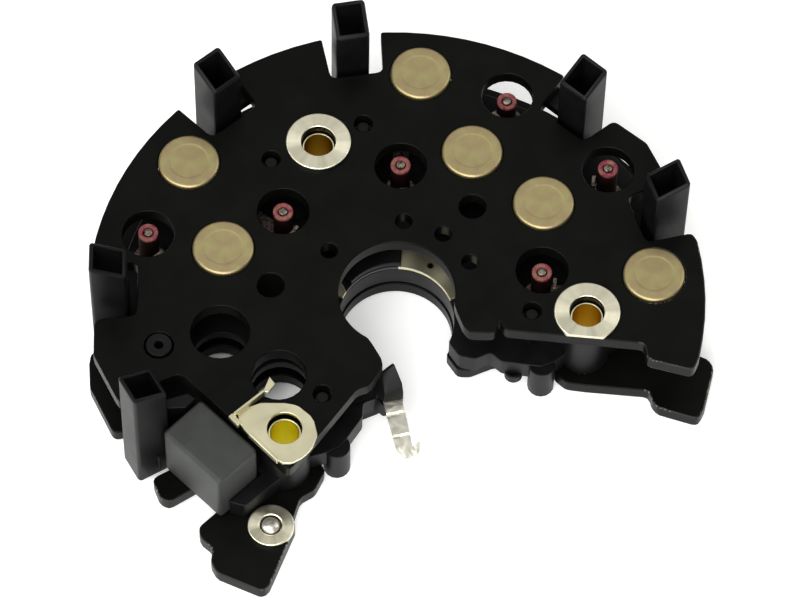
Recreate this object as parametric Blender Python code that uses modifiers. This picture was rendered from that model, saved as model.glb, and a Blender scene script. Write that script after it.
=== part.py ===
"""Alternator rectifier: two horseshoe heat sinks with pressed-in diodes and a moulded terminal carrier.

Sizes are in millimetres and angles in degrees. The shaft axis is vertical. A place on a plate is given by
its distance from the shaft axis and its angle, counted anticlockwise from +Y as seen from above, so the
mouth of the horseshoe faces -Y. Heights are counted from the surface the rectifier rests on.
"""

import math

import bmesh
import bpy
from mathutils import Matrix, Vector

MM = 0.001

# Plates and their spacing
PLATE_THICK = 3.4
PLATE_SPACE = 13.6
OUTER_DIODE_R = 53.4
RIM_LAND = 10.4
RIM_STEP = 0.3
UPPER_OUTER_R = OUTER_DIODE_R + RIM_LAND
UPPER_INNER_R = 12.1
UPPER_MOUTH_ANGLE = 126.0
LOWER_OUTER_R = UPPER_OUTER_R - RIM_STEP
LOWER_INNER_R = 11.8
LOWER_MOUTH_ANGLE = 141.0
NOTCH_DEEP = 9.9
NOTCH_FLOOR_R = UPPER_OUTER_R - NOTCH_DEEP
NOTCH_HALF_ANGLE = 6.5
LOWER_NOTCH_HALF_ANGLE = 4.2
# The near side of the upper plate's right back notch: its angle at the rim and at the floor
RIGHT_NOTCH_SIDE = (-10.1, -9.6)
CORNER_ROUND = 1.6
# The right front edge of the upper plate, from the fixing beside it
FRONT_EDGE = 5.8
FRONT_EDGE_TURN = -30.0

# Pressed-in diodes
CUP_R = 6.4
CUP_PROUD = 0.8
CUP_TALL = 6.2
CUP_EDGE = 0.45
DISH_R = 4.1
DISH_DEEP = 0.15
POTTING_R = 4.7
POTTING_DEEP = 0.6
LEAD_R = 0.95
LEAD_HEAD_R = 1.5
LEAD_HEAD_THICK = 0.5
LEAD_SHORT_OF_FACE = 0.3
SLEEVE_R = 2.1
SLEEVE_WALL = 0.75
SLEEVE_SHORT_OF_FACE = 1.0
LEAD_HOLE_R = 5.45
EMPTY_DIODE_HOLE_R = 6.15
INNER_DIODE_R = 37.4
INNER_LEAD_R = 30.6

# Fixings through the stack
FIXING_R = 39.5
LEFT_FIXING_ANGLE = 120.2
RIGHT_FIXING_ANGLE = -121.4
FIXING_HOLE_R = 4.8
WASHER_R = 6.9
WASHER_THICK = 0.9
WASHER_BORE_R = 3.6
SPIGOT_R = 4.5
SPIGOT_LONG = 2.6
TUBE_R = 3.4
TUBE_WALL = 0.45
TUBE_BELOW_WASHER = 2.3
BOSS_R = 5.2

# Moulded carrier
WEB_LAND = 5.3
WEB_OUTER_R = OUTER_DIODE_R + WEB_LAND
WEB_INNER_R = 12.1
WEB_TALL = 5.2
WEB_SKIN = 2.2
WEB_WALL = 1.7
WEB_LOBE = 2.6
LEAD_WAY_R = 2.7
TOWER_WIDE = 7.1
TOWER_DEEP = 7.6
TOWER_WALL = 0.9
TOWER_CORNER = 0.7
TOWER_GAP = 1.4
TOWER_CENTRE_R = NOTCH_FLOOR_R + TOWER_GAP + TOWER_DEEP / 2
TOWER_ABOVE_PLATE = 15.0
TOWER_SLANT = 3.1
TOWER_END = 1.4
PIN_R = 1.35
PIN_HOLE_R = 2.0
PIN_SHORT_OF_FACE = 1.5
LEG_R = 2.8
HOLLOW_PEG_R = 2.7
HOLLOW_PEG_BORE_R = 0.95
HOLLOW_PEG_HOLE_R = 3.1

# Conductors
STRIP_THICK = 0.8
STRIP_WIDE = 4.0
EYE_R = 3.6
TAB_WIDE = 2.6
TAB_TALL = 5.6
RING_STRIP_WIDE = 4.6
SPRING_WIDE = 3.9
SPRING_THICK = 0.5
SPRING_START = (-8.5, -16.3)
SPRING_END = (-11.6, -30.4)
SPRING_ROOM = 0.35
EAR_OF_SPRING = (1.6, 0.1, 0.9)

# Suppression capacitor and its terminal
BLOCK_LONG = 16.7
BLOCK_WIDE = 11.0
BLOCK_TALL = 15.9
BLOCK_EDGE = 1.0
BLOCK_OPEN = 8.0
TERMINAL_THICK = 0.8
TERMINAL_FOLD = 0.6
TERMINAL_ROUND = 5.0
TERMINAL_BACK_TALL = 1.9
TERMINAL_FRONT_TALL = 1.5
TERMINAL_CORNER_TALL = 1.2
TERMINAL_EDGE = (
    (39.6, 107.3),
    (34.2, 116.0),
    (33.4, 122.0),
    (35.7, 128.8),
    (38.8, 130.7),
    (41.7, 130.1),
    (44.4, 128.7),
    (46.3, 126.5),
    (46.5, 124.6),
    (45.2, 113.9),
    (44.9, 110.5),
    (43.7, 107.3),
)
TERMINAL_BACK_FOLD = ((44.3, 107.2), (36.2, 107.2))
TERMINAL_FRONT_FOLD = ((45.1, 113.8), (46.6, 124.4))
TERMINAL_CORNER_FOLD = ((44.8, 106.4), (44.9, 110.2))
TERMINAL_CLIP = ((36.7, 107.3), (33.3, 104.2), (33.5, 107.8), (35.8, 108.6))
TERMINAL_CLIP_RISE = 1.2

# Washer riveted to the left ear of the lower plate
EAR_WASHER_R = 4.8
EAR_WASHER_THICK = 1.0
RIVET_R = 1.9
RIVET_HOLE_R = 2.0

# Clearances
FIT = 0.3
PRESS_GAP = 0.15
STACK_GAP = 0.1

# Heights
LOWER_BOTTOM = CUP_PROUD
LOWER_TOP = LOWER_BOTTOM + PLATE_THICK
UPPER_BOTTOM = LOWER_TOP + PLATE_SPACE
UPPER_TOP = UPPER_BOTTOM + PLATE_THICK
WEB_BOTTOM = LOWER_TOP + FIT
WEB_TOP = WEB_BOTTOM + WEB_TALL
STRIP_BOTTOM = WEB_TOP + STACK_GAP
STRIP_TOP = STRIP_BOTTOM + STRIP_THICK
SPRING_LEVEL = WEB_TOP + FIT + SPRING_THICK / 2
WASHER_TOP = UPPER_TOP + STACK_GAP + WASHER_THICK

# Places: (distance from the shaft axis, angle)
FIXINGS = {
    "back": (FIXING_R, 0.0),
    "left": (FIXING_R, LEFT_FIXING_ANGLE),
    "right": (FIXING_R, RIGHT_FIXING_ANGLE),
}
UPPER_DIODES = (
    (OUTER_DIODE_R, 30.0),
    (OUTER_DIODE_R, -30.0),
    (INNER_DIODE_R, 49.6),
    (INNER_DIODE_R, -49.6),
    (INNER_DIODE_R, -79.5),
    (OUTER_DIODE_R, -109.8),
)
LOWER_DIODES = (
    (INNER_LEAD_R, 26.1),
    (INNER_LEAD_R, -26.1),
    (OUTER_DIODE_R, 50.5),
    (OUTER_DIODE_R, -50.5),
    (OUTER_DIODE_R, -80.5),
    (INNER_LEAD_R, -104.1),
)
TAB_BEARINGS = (-60.0, 250.0, -75.0, 200.0, 150.0, -30.0)
TOWER_ANGLES = (15.0, -15.0, 65.7, -65.7, 95.2, -95.2)
# Shoulders beside two towers, just under the upper plate: the tower's angle and the side it is on
SHOULDERS = ((15.0, 1), (-65.7, -1))
SHOULDER_REACH = 5.0
SHOULDER_DEEP = 4.8
SHOULDER_TALL = 2.4
SHOULDER_OUT = 0.9
PINS = ((41.5, 14.8), (41.5, -14.8), (28.2, 122.9), (28.2, -122.9))
LEGS = ((31.9, 133.0), (31.9, -133.0))
HOLLOW_PEG = (OUTER_DIODE_R - 3.0, 80.0)
EMPTY_UPPER_DIODE = (37.5, 80.0)
EMPTY_LEAD_HOLE = (31.0, 104.3)
EMPTY_LOWER_DIODE = (29.0, 99.8)
EAR_RIVET = (52.4, 126.2)
BLOCK_PLACE = (51.1, 107.6)
BLOCK_TURN = 110.5
SMALL_HOLES = (
    (26.1, 61.8, 2.9),
    (26.1, -61.8, 2.9),
    (17.2, 30.0, 1.8),
    (17.2, -29.4, 1.8),
    (17.1, -58.8, 1.8),
    (16.9, -88.4, 1.8),
)
# The horn's corners: across, along and below the upper plate's top
HORN_CORNERS = (
    (-6.7, -12.9, 3.6),
    (-6.7, -13.6, 3.0),
    (-6.4, -17.0, 6.0),
    (-6.6, -18.1, 8.2),
    (-6.9, -18.3, 10.4),
    (-9.4, -13.6, 4.6),
    (-10.4, -17.0, 7.4),
    (-10.7, -17.4, 10.4),
    (-10.4, -13.2, 5.4),
    (-6.7, -12.9, 16.3),
    (-6.9, -18.3, 16.3),
    (-10.9, -17.4, 16.3),
    (-11.6, -14.6, 8.0),
    (-11.9, -15.2, 16.3),
    (-10.4, -12.9, 16.3),
)

ARC_STEP = 4.0
HOLE_SIDES = 24
SMALL_HOLE_SIDES = 12
ROUND_SIDES = 24


def at(radius, angle, height=0.0):
    """The point this far from the shaft axis, at this angle and height."""
    turn = math.radians(angle)
    return Vector((-radius * math.sin(turn), radius * math.cos(turn), height))


def arc(radius, start, end):
    """Points along a circle about the shaft axis, both ends included."""
    count = max(1, round(abs(end - start) / ARC_STEP))
    return [at(radius, start + (end - start) * i / count) for i in range(count + 1)]


def circle(centre, radius, sides=HOLE_SIDES):
    return [
        centre + Vector((math.cos(turn), math.sin(turn), 0)) * radius
        for turn in (2 * math.pi * (i + 0.5) / sides for i in range(sides))
    ]


def rounded(points, radius=CORNER_ROUND):
    """The outline with its sharp corners turned into short arcs."""
    result = []
    for i, corner in enumerate(points):
        before, after = points[i - 1], points[(i + 1) % len(points)]
        to_before, to_after = before - corner, after - corner
        turn = math.pi - to_before.angle(to_after)
        if turn < math.radians(14):
            result.append(corner)
            continue
        reach = min(radius * math.tan(turn / 2), 0.45 * to_before.length, 0.45 * to_after.length)
        start = corner + to_before.normalized() * reach
        end = corner + to_after.normalized() * reach
        count = max(1, round(math.degrees(turn) / 30))
        for share in (k / count for k in range(count + 1)):
            bend = start * (1 - share) ** 2 + corner * 2 * share * (1 - share) + end * share**2
            result.append(bend)
    return result


def start_empty():
    for thing in list(bpy.data.objects):
        bpy.data.objects.remove(thing)


def collection(name):
    made = bpy.data.collections.new(name)
    bpy.context.scene.collection.children.link(made)
    return made


def surface(name, colour, roughness, metallic):
    made = bpy.data.materials.new(name)
    made.use_nodes = True
    shader = made.node_tree.nodes["Principled BSDF"]
    shader.inputs["Base Color"].default_value = (*colour, 1)
    shader.inputs["Roughness"].default_value = roughness
    shader.inputs["Metallic"].default_value = metallic
    return made


def thing(name, mesh, group, finish=None):
    made = bpy.data.objects.new(name, mesh)
    group.objects.link(made)
    if finish:
        mesh.materials.clear()
        mesh.materials.append(finish)
    return made


def baked(item):
    """The object's evaluated shape as plain mesh, closed at its seams."""
    bpy.context.view_layer.update()
    shape = bpy.data.meshes.new_from_object(item.evaluated_get(bpy.context.evaluated_depsgraph_get()))
    work = bmesh.new()
    work.from_mesh(shape)
    bmesh.ops.remove_doubles(work, verts=work.verts, dist=0.002 * MM)
    work.to_mesh(shape)
    work.free()
    name, group, place = item.name, item.users_collection[0], item.matrix_world.copy()
    bpy.data.objects.remove(item)
    made = thing(name, shape, group)
    made.matrix_world = place
    return made


def slab(name, outlines, bottom, top, group, finish=None):
    """A flat piece: the first outline is its edge and the others are holes through it."""
    curve = bpy.data.curves.new(name, "CURVE")
    curve.dimensions = "2D"
    curve.fill_mode = "BOTH"
    curve.extrude = (top - bottom) / 2 * MM
    for outline in outlines:
        spline = curve.splines.new("POLY")
        spline.points.add(len(outline) - 1)
        for point, corner in zip(spline.points, outline):
            point.co = (corner.x * MM, corner.y * MM, 0, 1)
        spline.use_cyclic_u = True
    flat = bpy.data.objects.new(name, curve)
    group.objects.link(flat)
    flat.location.z = (top + bottom) / 2 * MM
    made = baked(flat)
    if finish:
        made.data.materials.clear()
        made.data.materials.append(finish)
    return made


def cylinder(name, centre, radius, bottom, top, group, sides=ROUND_SIDES, finish=None):
    work = bmesh.new()
    bmesh.ops.create_cone(
        work,
        cap_ends=True,
        segments=sides,
        radius1=radius * MM,
        radius2=radius * MM,
        depth=(top - bottom) * MM,
    )
    mesh = bpy.data.meshes.new(name)
    work.to_mesh(mesh)
    work.free()
    made = thing(name, mesh, group, finish)
    made.location = Vector((centre.x, centre.y, (top + bottom) / 2)) * MM
    return made


def box(name, centre, size, turn, bottom, top, group, finish=None):
    """A block whose local Y points away from the shaft axis when turn is its place's angle."""
    work = bmesh.new()
    bmesh.ops.create_cube(work, size=1.0)
    bmesh.ops.scale(work, vec=Vector((size[0], size[1], top - bottom)) * MM, verts=work.verts)
    mesh = bpy.data.meshes.new(name)
    work.to_mesh(mesh)
    work.free()
    made = thing(name, mesh, group, finish)
    made.location = Vector((centre.x, centre.y, (top + bottom) / 2)) * MM
    made.rotation_euler.z = math.radians(turn)
    return made


def turned(name, profile, group, finish=None, ring=False, sides=ROUND_SIDES):
    """A piece of revolution about its own Z; the profile runs down its outer side."""
    mesh = bpy.data.meshes.new(name)
    edges = [(i, i + 1) for i in range(len(profile) - 1)]
    if ring:
        edges.append((len(profile) - 1, 0))
    mesh.from_pydata([(x * MM, 0, z * MM) for x, z in profile], edges, [])
    made = thing(name, mesh, group, finish)
    screw = made.modifiers.new("turn", "SCREW")
    screw.steps = sides
    screw.render_steps = sides
    screw.use_merge_vertices = True
    screw.merge_threshold = 0.00001
    screw.use_smooth_shade = False
    return made


def combine(base, others, operation, solver="EXACT"):
    """The base with every other piece added to it or cut from it."""
    for other in others:
        step = base.modifiers.new(operation.lower(), "BOOLEAN")
        step.operation = operation
        step.solver = solver
        step.object = other
    made = baked(base)
    for other in others:
        bpy.data.objects.remove(other)
    return made


def finished(item, finish, name=None):
    if name:
        item.name = name
    item.data.materials.clear()
    item.data.materials.append(finish)
    return item


def plate_holes(diodes, leads, extra):
    """Outlines of the holes for pressed-in cups, for the other plate's leads, and the rest."""
    holes = [circle(at(*place), CUP_R + PRESS_GAP) for place in diodes]
    holes += [circle(at(*place), LEAD_HOLE_R) for place in leads]
    holes += [circle(at(*place), FIXING_HOLE_R) for place in FIXINGS.values()]
    for radius, angle, size in extra:
        sides = SMALL_HOLE_SIDES if size < TUBE_R else HOLE_SIDES
        holes.append(circle(at(radius, angle), size, sides))
    return holes


def notch(angle, side, half=NOTCH_HALF_ANGLE):
    """The sides and floor of the gap in a plate's rim where a wire tower stands."""
    near, far = angle - half, angle + half
    outer = UPPER_OUTER_R
    corners = [at(outer, near * side), at(NOTCH_FLOOR_R, near * side)]
    return corners + [at(NOTCH_FLOOR_R, far * side), at(outer, far * side)]


def upper_outline():
    """Points near the rim are counted from it, and the rest from the shaft axis."""
    back, side = TOWER_ANGLES[0], TOWER_ANGLES[2]
    rim, floor = UPPER_OUTER_R, NOTCH_FLOOR_R
    right = (
        arc(UPPER_OUTER_R, 0, RIGHT_NOTCH_SIDE[0] + 1)
        + [at(rim, RIGHT_NOTCH_SIDE[0]), at(floor, RIGHT_NOTCH_SIDE[1])]
        + notch(back, -1)[2:]
        + arc(UPPER_OUTER_R, -(back + NOTCH_HALF_ANGLE) - 1, -(side - NOTCH_HALF_ANGLE) + 2)
        + notch(side - 0.8, -1)[:3]
        + [at(rim - 1.7, -72.0), at(rim + 0.2, -79.8), at(rim - 0.7, -88.8)]
        + [at(floor - 0.5, -88.8), at(floor - 0.5, -101.1), at(UPPER_OUTER_R - 0.6, -101.1)]
        + arc(UPPER_OUTER_R, -103, -128)
        + [at(rim - 0.4, -131.0), at(rim - 10.3, -131.2), at(rim - 11.5, -127.4)]
        + [at(23.9, -135.9), at(21.9, -130.6), at(22.5, -139.2), at(17.6, -146.4)]
        + [at(15.7, -143.8), at(13.2, -134.0)]
    )
    left = (
        [at(13.2, 134.0), at(15.7, 143.8), at(17.6, 146.4), at(22.4, 141.3), at(24.1, 135.8)]
        + [at(47.3, 127.8), at(45.7, 122.0), at(46.9, 93.5), at(47.5, 90.6)]
        + [at(48.9, 88.9), at(rim - 11.8, 89.0), at(rim - 1.5, 90.6)]
        + [at(rim + 0.1, 79.0), at(rim - 1.2, 71.6)]
        + notch(side - 0.8, 1)[2::-1]
        + arc(UPPER_OUTER_R, side - NOTCH_HALF_ANGLE - 2, back + NOTCH_HALF_ANGLE + 1)
        + notch(back, 1)[::-1]
        + arc(UPPER_OUTER_R, back - NOTCH_HALF_ANGLE - 1, 4)
    )
    return rounded(right + arc(UPPER_INNER_R, -UPPER_MOUTH_ANGLE, UPPER_MOUTH_ANGLE) + left)


def lower_outline():
    back, side = TOWER_ANGLES[0], TOWER_ANGLES[2]
    rim, floor = UPPER_OUTER_R, NOTCH_FLOOR_R
    right = (
        arc(LOWER_OUTER_R, 0, -(back - NOTCH_HALF_ANGLE) + 1)
        + notch(back, -1)
        + arc(LOWER_OUTER_R, -(back + NOTCH_HALF_ANGLE) - 1, -(side - LOWER_NOTCH_HALF_ANGLE) + 2)
        + notch(side, -1, LOWER_NOTCH_HALF_ANGLE)
        + [at(rim + 0.6, -72.4), at(rim + 1.2, -77.3), at(rim - 0.6, -88.0), at(floor + 0.1, -89.0)]
        + [at(floor + 0.1, -100.6)]
        + [at(rim - 2.8, -100.2), at(rim - 1.5, -103.2), at(rim - 1.9, -105.4)]
        + [at(OUTER_DIODE_R - 5.0, -105.6)]
        + [at(OUTER_DIODE_R - 5.0, -114.4), at(rim - 2.8, -114.0), at(rim - 1.1, -115.8)]
        + [at(rim - 0.9, -118.9)]
        + [at(rim + 1.8, -119.8), at(rim + 3.1, -121.4), at(rim + 2.7, -129.6), at(rim + 2.2, -132.4)]
        + [at(rim - 6.6, -132.4), at(rim - 8.2, -131.2), at(rim - 9.4, -128.9), at(41.4, -131.8)]
        + [at(37.4, -132.8), at(34.4, -130.6), at(33.9, -127.0), at(29.8, -125.6)]
        + [at(26.6, -129.4), at(21.4, -133.0), at(17.9, -144.2), at(15.6, -149.0)]
    )
    left = (
        [at(15.6, 149.0), at(17.9, 144.2), at(20.6, 134.6), at(26.6, 129.4), at(29.8, 125.6)]
        + [at(33.9, 127.0), at(35.6, 131.4), at(40.6, 131.2), at(43.6, 128.6)]
        + [at(48.6, 129.7), at(49.8, 131.2), at(rim + 1.1, 131.9), at(rim + 2.4, 131.0)]
        + [at(rim + 3.2, 122.5), at(rim + 2.0, 120.4), at(rim - 0.9, 118.9), at(rim - 1.1, 115.8)]
        + [at(rim - 2.8, 114.0)]
        + [at(rim - 10.3, 114.6), at(rim - 10.3, 107.4), at(rim - 2.2, 106.2), at(rim - 1.5, 104.2)]
        + [at(rim - 2.8, 100.0)]
        + [at(floor + 0.1, 100.6), at(floor + 0.1, 89.0), at(rim - 0.6, 88.0), at(rim + 1.2, 77.3)]
        + [at(rim + 0.6, 72.4)]
        + notch(side, 1, LOWER_NOTCH_HALF_ANGLE)[::-1]
        + arc(LOWER_OUTER_R, side - LOWER_NOTCH_HALF_ANGLE - 2, back + NOTCH_HALF_ANGLE + 1)
        + notch(back, 1)[::-1]
        + arc(LOWER_OUTER_R, back - NOTCH_HALF_ANGLE - 1, 4)
    )
    return rounded(right + arc(LOWER_INNER_R, -LOWER_MOUTH_ANGLE, LOWER_MOUTH_ANGLE) + left)


def upper_plate(group, finish):
    extra = [(*place, PIN_HOLE_R) for place in PINS]
    extra += [(*HOLLOW_PEG, HOLLOW_PEG_HOLE_R), (*EMPTY_UPPER_DIODE, EMPTY_DIODE_HOLE_R)]
    extra += [(*EMPTY_LEAD_HOLE, LEAD_HOLE_R + 0.2), *SMALL_HOLES]
    holes = plate_holes(UPPER_DIODES, LOWER_DIODES, extra)
    return slab("upper_heat_sink", [upper_outline(), *holes], UPPER_BOTTOM, UPPER_TOP, group, finish)


def lower_plate(group, finish):
    extra = [(*EMPTY_LOWER_DIODE, EMPTY_DIODE_HOLE_R), (*EMPTY_UPPER_DIODE, EMPTY_DIODE_HOLE_R)]
    extra += [(*EAR_RIVET, RIVET_HOLE_R + FIT)]
    holes = plate_holes(LOWER_DIODES, UPPER_DIODES[:5], extra)
    return slab("lower_heat_sink", [lower_outline(), *holes], LOWER_BOTTOM, LOWER_TOP, group, finish)


def diode_cup_profile():
    """The cup with its face at height 0 and its open side down, the potting level inside it."""
    return [
        (0, -DISH_DEEP),
        (DISH_R, -DISH_DEEP),
        (DISH_R + DISH_DEEP, 0),
        (CUP_R - CUP_EDGE, 0),
        (CUP_R, -CUP_EDGE),
        (CUP_R, -CUP_TALL),
        (POTTING_R, -CUP_TALL),
        (POTTING_R, -CUP_TALL + POTTING_DEEP),
        (0, -CUP_TALL + POTTING_DEEP),
    ]


def lead_profile(long):
    """A nail-headed lead hanging down from height 0."""
    return [
        (0, 0),
        (LEAD_HEAD_R, 0),
        (LEAD_HEAD_R, -LEAD_HEAD_THICK),
        (LEAD_R, -LEAD_HEAD_THICK - 0.4),
        (LEAD_R, -long + 0.3),
        (LEAD_R - 0.3, -long),
        (0, -long),
    ]


def sleeve_profile(long):
    inner = SLEEVE_R - SLEEVE_WALL
    return [
        (SLEEVE_R - 0.3, 0),
        (SLEEVE_R, -0.3),
        (SLEEVE_R, -long),
        (inner, -long),
        (inner, 0),
    ]


def diodes(group, finishes):
    """Each diode hangs from its plate's face; those of the lower plate are turned upside down."""
    cup_under = CUP_TALL - POTTING_DEEP + STACK_GAP
    upper_face, lower_face = UPPER_TOP + CUP_PROUD, LOWER_BOTTOM - CUP_PROUD
    upper_lead = upper_face - cup_under - (LOWER_BOTTOM + LEAD_SHORT_OF_FACE)
    lower_lead = UPPER_TOP - LEAD_SHORT_OF_FACE - (lower_face + cup_under)
    upper_sleeve = STRIP_BOTTOM - STACK_GAP - (LOWER_BOTTOM + SLEEVE_SHORT_OF_FACE)
    lower_sleeve = UPPER_TOP - SLEEVE_SHORT_OF_FACE - (STRIP_TOP + STACK_GAP)
    plans = (
        ("upper", UPPER_DIODES, upper_face, 0, upper_lead, upper_sleeve, STRIP_BOTTOM - STACK_GAP),
        ("lower", LOWER_DIODES, lower_face, math.pi, lower_lead, lower_sleeve, STRIP_TOP + STACK_GAP),
    )
    for level, places, face, turn, lead, sleeve, sleeve_start in plans:
        way = -1 if turn == 0 else 1
        for number, place in enumerate(places, 1):
            cup = turned(f"{level}_diode_cup_{number}", diode_cup_profile(), group, finishes["cup"])
            wire = turned(
                f"{level}_diode_lead_{number}", lead_profile(lead), group, finishes["tin"], sides=10
            )
            tube = turned(
                f"{level}_lead_sleeve_{number}",
                sleeve_profile(sleeve),
                group,
                finishes["sleeve"],
                ring=True,
                sides=12,
            )
            heights = (face, face + way * cup_under, sleeve_start)
            for piece, height in zip((cup, wire, tube), heights):
                piece.location = at(*place, height) * MM
                piece.rotation_euler.x = turn


def web_outline():
    """The moulded web, seen from above; its ends follow the front edges of the plates."""
    right = [
        at(WEB_OUTER_R, -112.0),
        at(47.0, -119.0),
        at(43.3, -122.8),
        at(37.0, -125.6),
        at(34.2, -131.2),
        at(31.9, -134.6),
        at(24.0, -138.7),
        at(21.0, -136.0),
        at(18.8, -144.0),
        at(15.6, -147.6),
    ]
    left = [
        at(15.6, 147.6),
        at(18.8, 144.0),
        at(21.0, 136.0),
        at(24.0, 138.7),
        at(31.9, 134.6),
        at(34.2, 131.2),
        at(37.0, 126.6),
        at(43.3, 123.4),
        at(49.0, 121.4),
        at(53.6, 120.2),
    ]
    lobe = arc(WEB_OUTER_R + WEB_LOBE, -70, -87)
    sweep = arc(WEB_OUTER_R, 108, -68) + lobe + arc(WEB_OUTER_R, -89, -108)
    return rounded(sweep + right + arc(WEB_INNER_R, -140, 140) + left, 1.2)


def pocket_outline():
    """The hollow under the web's skin, one wall in from its edge."""
    outer, inner = WEB_OUTER_R - WEB_WALL, WEB_INNER_R + WEB_WALL
    ends = [at(26.0, -127.0), at(17.0, -133.0)], [at(17.0, 133.0), at(26.0, 127.0)]
    return arc(outer, 88, -106) + ends[0] + arc(inner, -128, 128) + ends[1] + [at(40.0, 104.0)]


def tower(angle, group, cutter_group):
    """A hollow square wire tower; its open top slopes down towards the shaft."""
    centre = at(TOWER_CENTRE_R, angle)
    shell = box(
        "tower", centre, (TOWER_WIDE, TOWER_DEEP), angle, TOWER_END, UPPER_TOP + TOWER_ABOVE_PLATE, group
    )
    for vertex in shell.data.vertices:
        if vertex.co.z > 0 and vertex.co.y < 0:
            vertex.co.z -= TOWER_SLANT * MM
    bevel = shell.modifiers.new("corner", "BEVEL")
    bevel.width = TOWER_CORNER * MM
    bevel.segments = 2
    bevel.limit_method = "ANGLE"
    bore = (TOWER_WIDE - 2 * TOWER_WALL, TOWER_DEEP - 2 * TOWER_WALL)
    way = box(
        "tower_way", centre, bore, angle, TOWER_END - 1, UPPER_TOP + TOWER_ABOVE_PLATE + 1, cutter_group
    )
    return shell, way


def shoulder(angle, side, group):
    """A lug beside a tower that closes the outer part of its notch from below."""
    turn = math.radians(angle)
    sideways = Vector((math.cos(turn), math.sin(turn), 0)) * side
    centre = at(TOWER_CENTRE_R + SHOULDER_OUT, angle) + sideways * (TOWER_WIDE + SHOULDER_REACH) / 2
    size = (SHOULDER_REACH + 2 * TOWER_CORNER, SHOULDER_DEEP)
    top = UPPER_BOTTOM - FIT
    return box("shoulder", centre, size, angle, top - SHOULDER_TALL, top, group)


def carrier(group, cutter_group, finish):
    web = slab("terminal_carrier", [web_outline()], WEB_BOTTOM, WEB_TOP, group)
    hollow = slab("hollow", [pocket_outline()], WEB_BOTTOM - 1, WEB_TOP - WEB_SKIN, cutter_group)
    cups = [
        cylinder("cup_room", at(*place), CUP_R + 0.7, WEB_BOTTOM - 1, WEB_TOP - WEB_SKIN, cutter_group)
        for place in LOWER_DIODES
    ]
    web = combine(web, [hollow, *cups], "DIFFERENCE", "MANIFOLD")

    solids = []
    for place in FIXINGS.values():
        solids.append(cylinder("boss", at(*place), BOSS_R, WEB_BOTTOM, UPPER_BOTTOM - STACK_GAP, group))
    for place in PINS:
        solids.append(
            cylinder("pin", at(*place), PIN_R, WEB_TOP - 1, UPPER_TOP - PIN_SHORT_OF_FACE, group, 12)
        )
    for place in LEGS:
        solids.append(cylinder("leg", at(*place), LEG_R, 0.0, WEB_TOP - 0.5, group, 16))
    solids.append(
        cylinder("hollow_peg", at(*HOLLOW_PEG), HOLLOW_PEG_R, WEB_TOP - 1, UPPER_TOP + FIT, group, 20)
    )
    cover = rounded(arc(WEB_INNER_R, 26, -29) + arc(WEB_INNER_R + RING_STRIP_WIDE + 1.6, -29, 26), 0.8)
    solids.append(slab("strip_cover", [cover], WEB_TOP - 0.5, STRIP_TOP + FIT + 1.4, group))
    seat = [at(47.9, 96.5), at(50.6, 97.4), at(54.2, 95.4), at(53.0, 93.4), at(48.7, 94.3)]
    solids.append(slab("seat", [seat], WEB_BOTTOM + 0.5, UPPER_TOP - 0.6, group))
    solids.append(horn(group))
    solids += [shoulder(angle, side, group) for angle, side in SHOULDERS]

    towers = [tower(angle, group, cutter_group) for angle in TOWER_ANGLES]
    solids += [baked(shell) for shell, _ in towers]
    web = combine(web, solids, "UNION", "MANIFOLD")

    cuts = [way for _, way in towers]
    for place in FIXINGS.values():
        cuts.append(
            cylinder("tube_way", at(*place), TUBE_R + FIT, 0, UPPER_BOTTOM + 1, cutter_group)
        )
    for place in UPPER_DIODES + LOWER_DIODES:
        cuts.append(
            cylinder("lead_way", at(*place), LEAD_WAY_R, WEB_BOTTOM - 1, WEB_TOP + 1, cutter_group, 16)
        )
    for place in (EMPTY_UPPER_DIODE, EMPTY_LOWER_DIODE):
        cuts.append(
            cylinder(
                "empty_way", at(*place), EMPTY_DIODE_HOLE_R, WEB_BOTTOM - 1, WEB_TOP + 1, cutter_group
            )
        )
    peg = at(*HOLLOW_PEG)
    cuts.append(
        cylinder("peg_way", peg, HOLLOW_PEG_BORE_R, WEB_BOTTOM - 1, UPPER_TOP + 1, cutter_group, 12)
    )
    # The block's room is open on its outer side
    room = (BLOCK_LONG + 2 * FIT, BLOCK_WIDE + 2 * FIT + BLOCK_OPEN)
    turn = math.radians(BLOCK_TURN)
    outward = Vector((-math.sin(turn), math.cos(turn), 0))
    middle = at(*BLOCK_PLACE) + outward * BLOCK_OPEN / 2
    cuts.append(box("block_room", middle, room, BLOCK_TURN, WEB_BOTTOM - 1, UPPER_TOP, cutter_group))
    cuts.append(spring_way(cutter_group))
    strip = arc(WEB_INNER_R - 1, 40, -40) + arc(WEB_INNER_R + RING_STRIP_WIDE + FIT, -40, 40)
    cuts.append(slab("strip_way", [strip], STRIP_BOTTOM - STACK_GAP, STRIP_TOP + FIT, cutter_group))
    return finished(combine(web, cuts, "DIFFERENCE", "MANIFOLD"), finish)


def horn(group):
    """The horn over the contact spring: it rises from the web's end to a point and slopes to the front."""
    work = bmesh.new()
    for x, y, height in HORN_CORNERS:
        work.verts.new(Vector((x, y, UPPER_TOP - height)) * MM)
    bmesh.ops.convex_hull(work, input=work.verts)
    mesh = bpy.data.meshes.new("horn")
    work.to_mesh(mesh)
    work.free()
    return thing("horn", mesh, group)


def spring_way(cutter_group):
    """The slot in which the horn clamps the spring."""
    start, end = Vector((*SPRING_START, 0)), Vector((*SPRING_END, 0))
    along = end - start
    turn = math.degrees(math.atan2(along.y, along.x)) - 90
    middle = start + along.normalized() * (along.length / 2 - SPRING_ROOM)
    size = (SPRING_WIDE + 2 * SPRING_ROOM + 4, along.length)
    bottom, top = SPRING_LEVEL - SPRING_THICK / 2 - FIT, SPRING_LEVEL + SPRING_THICK / 2 + SPRING_ROOM
    return box("spring_way", middle, size, turn, bottom, top, cutter_group)


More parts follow.
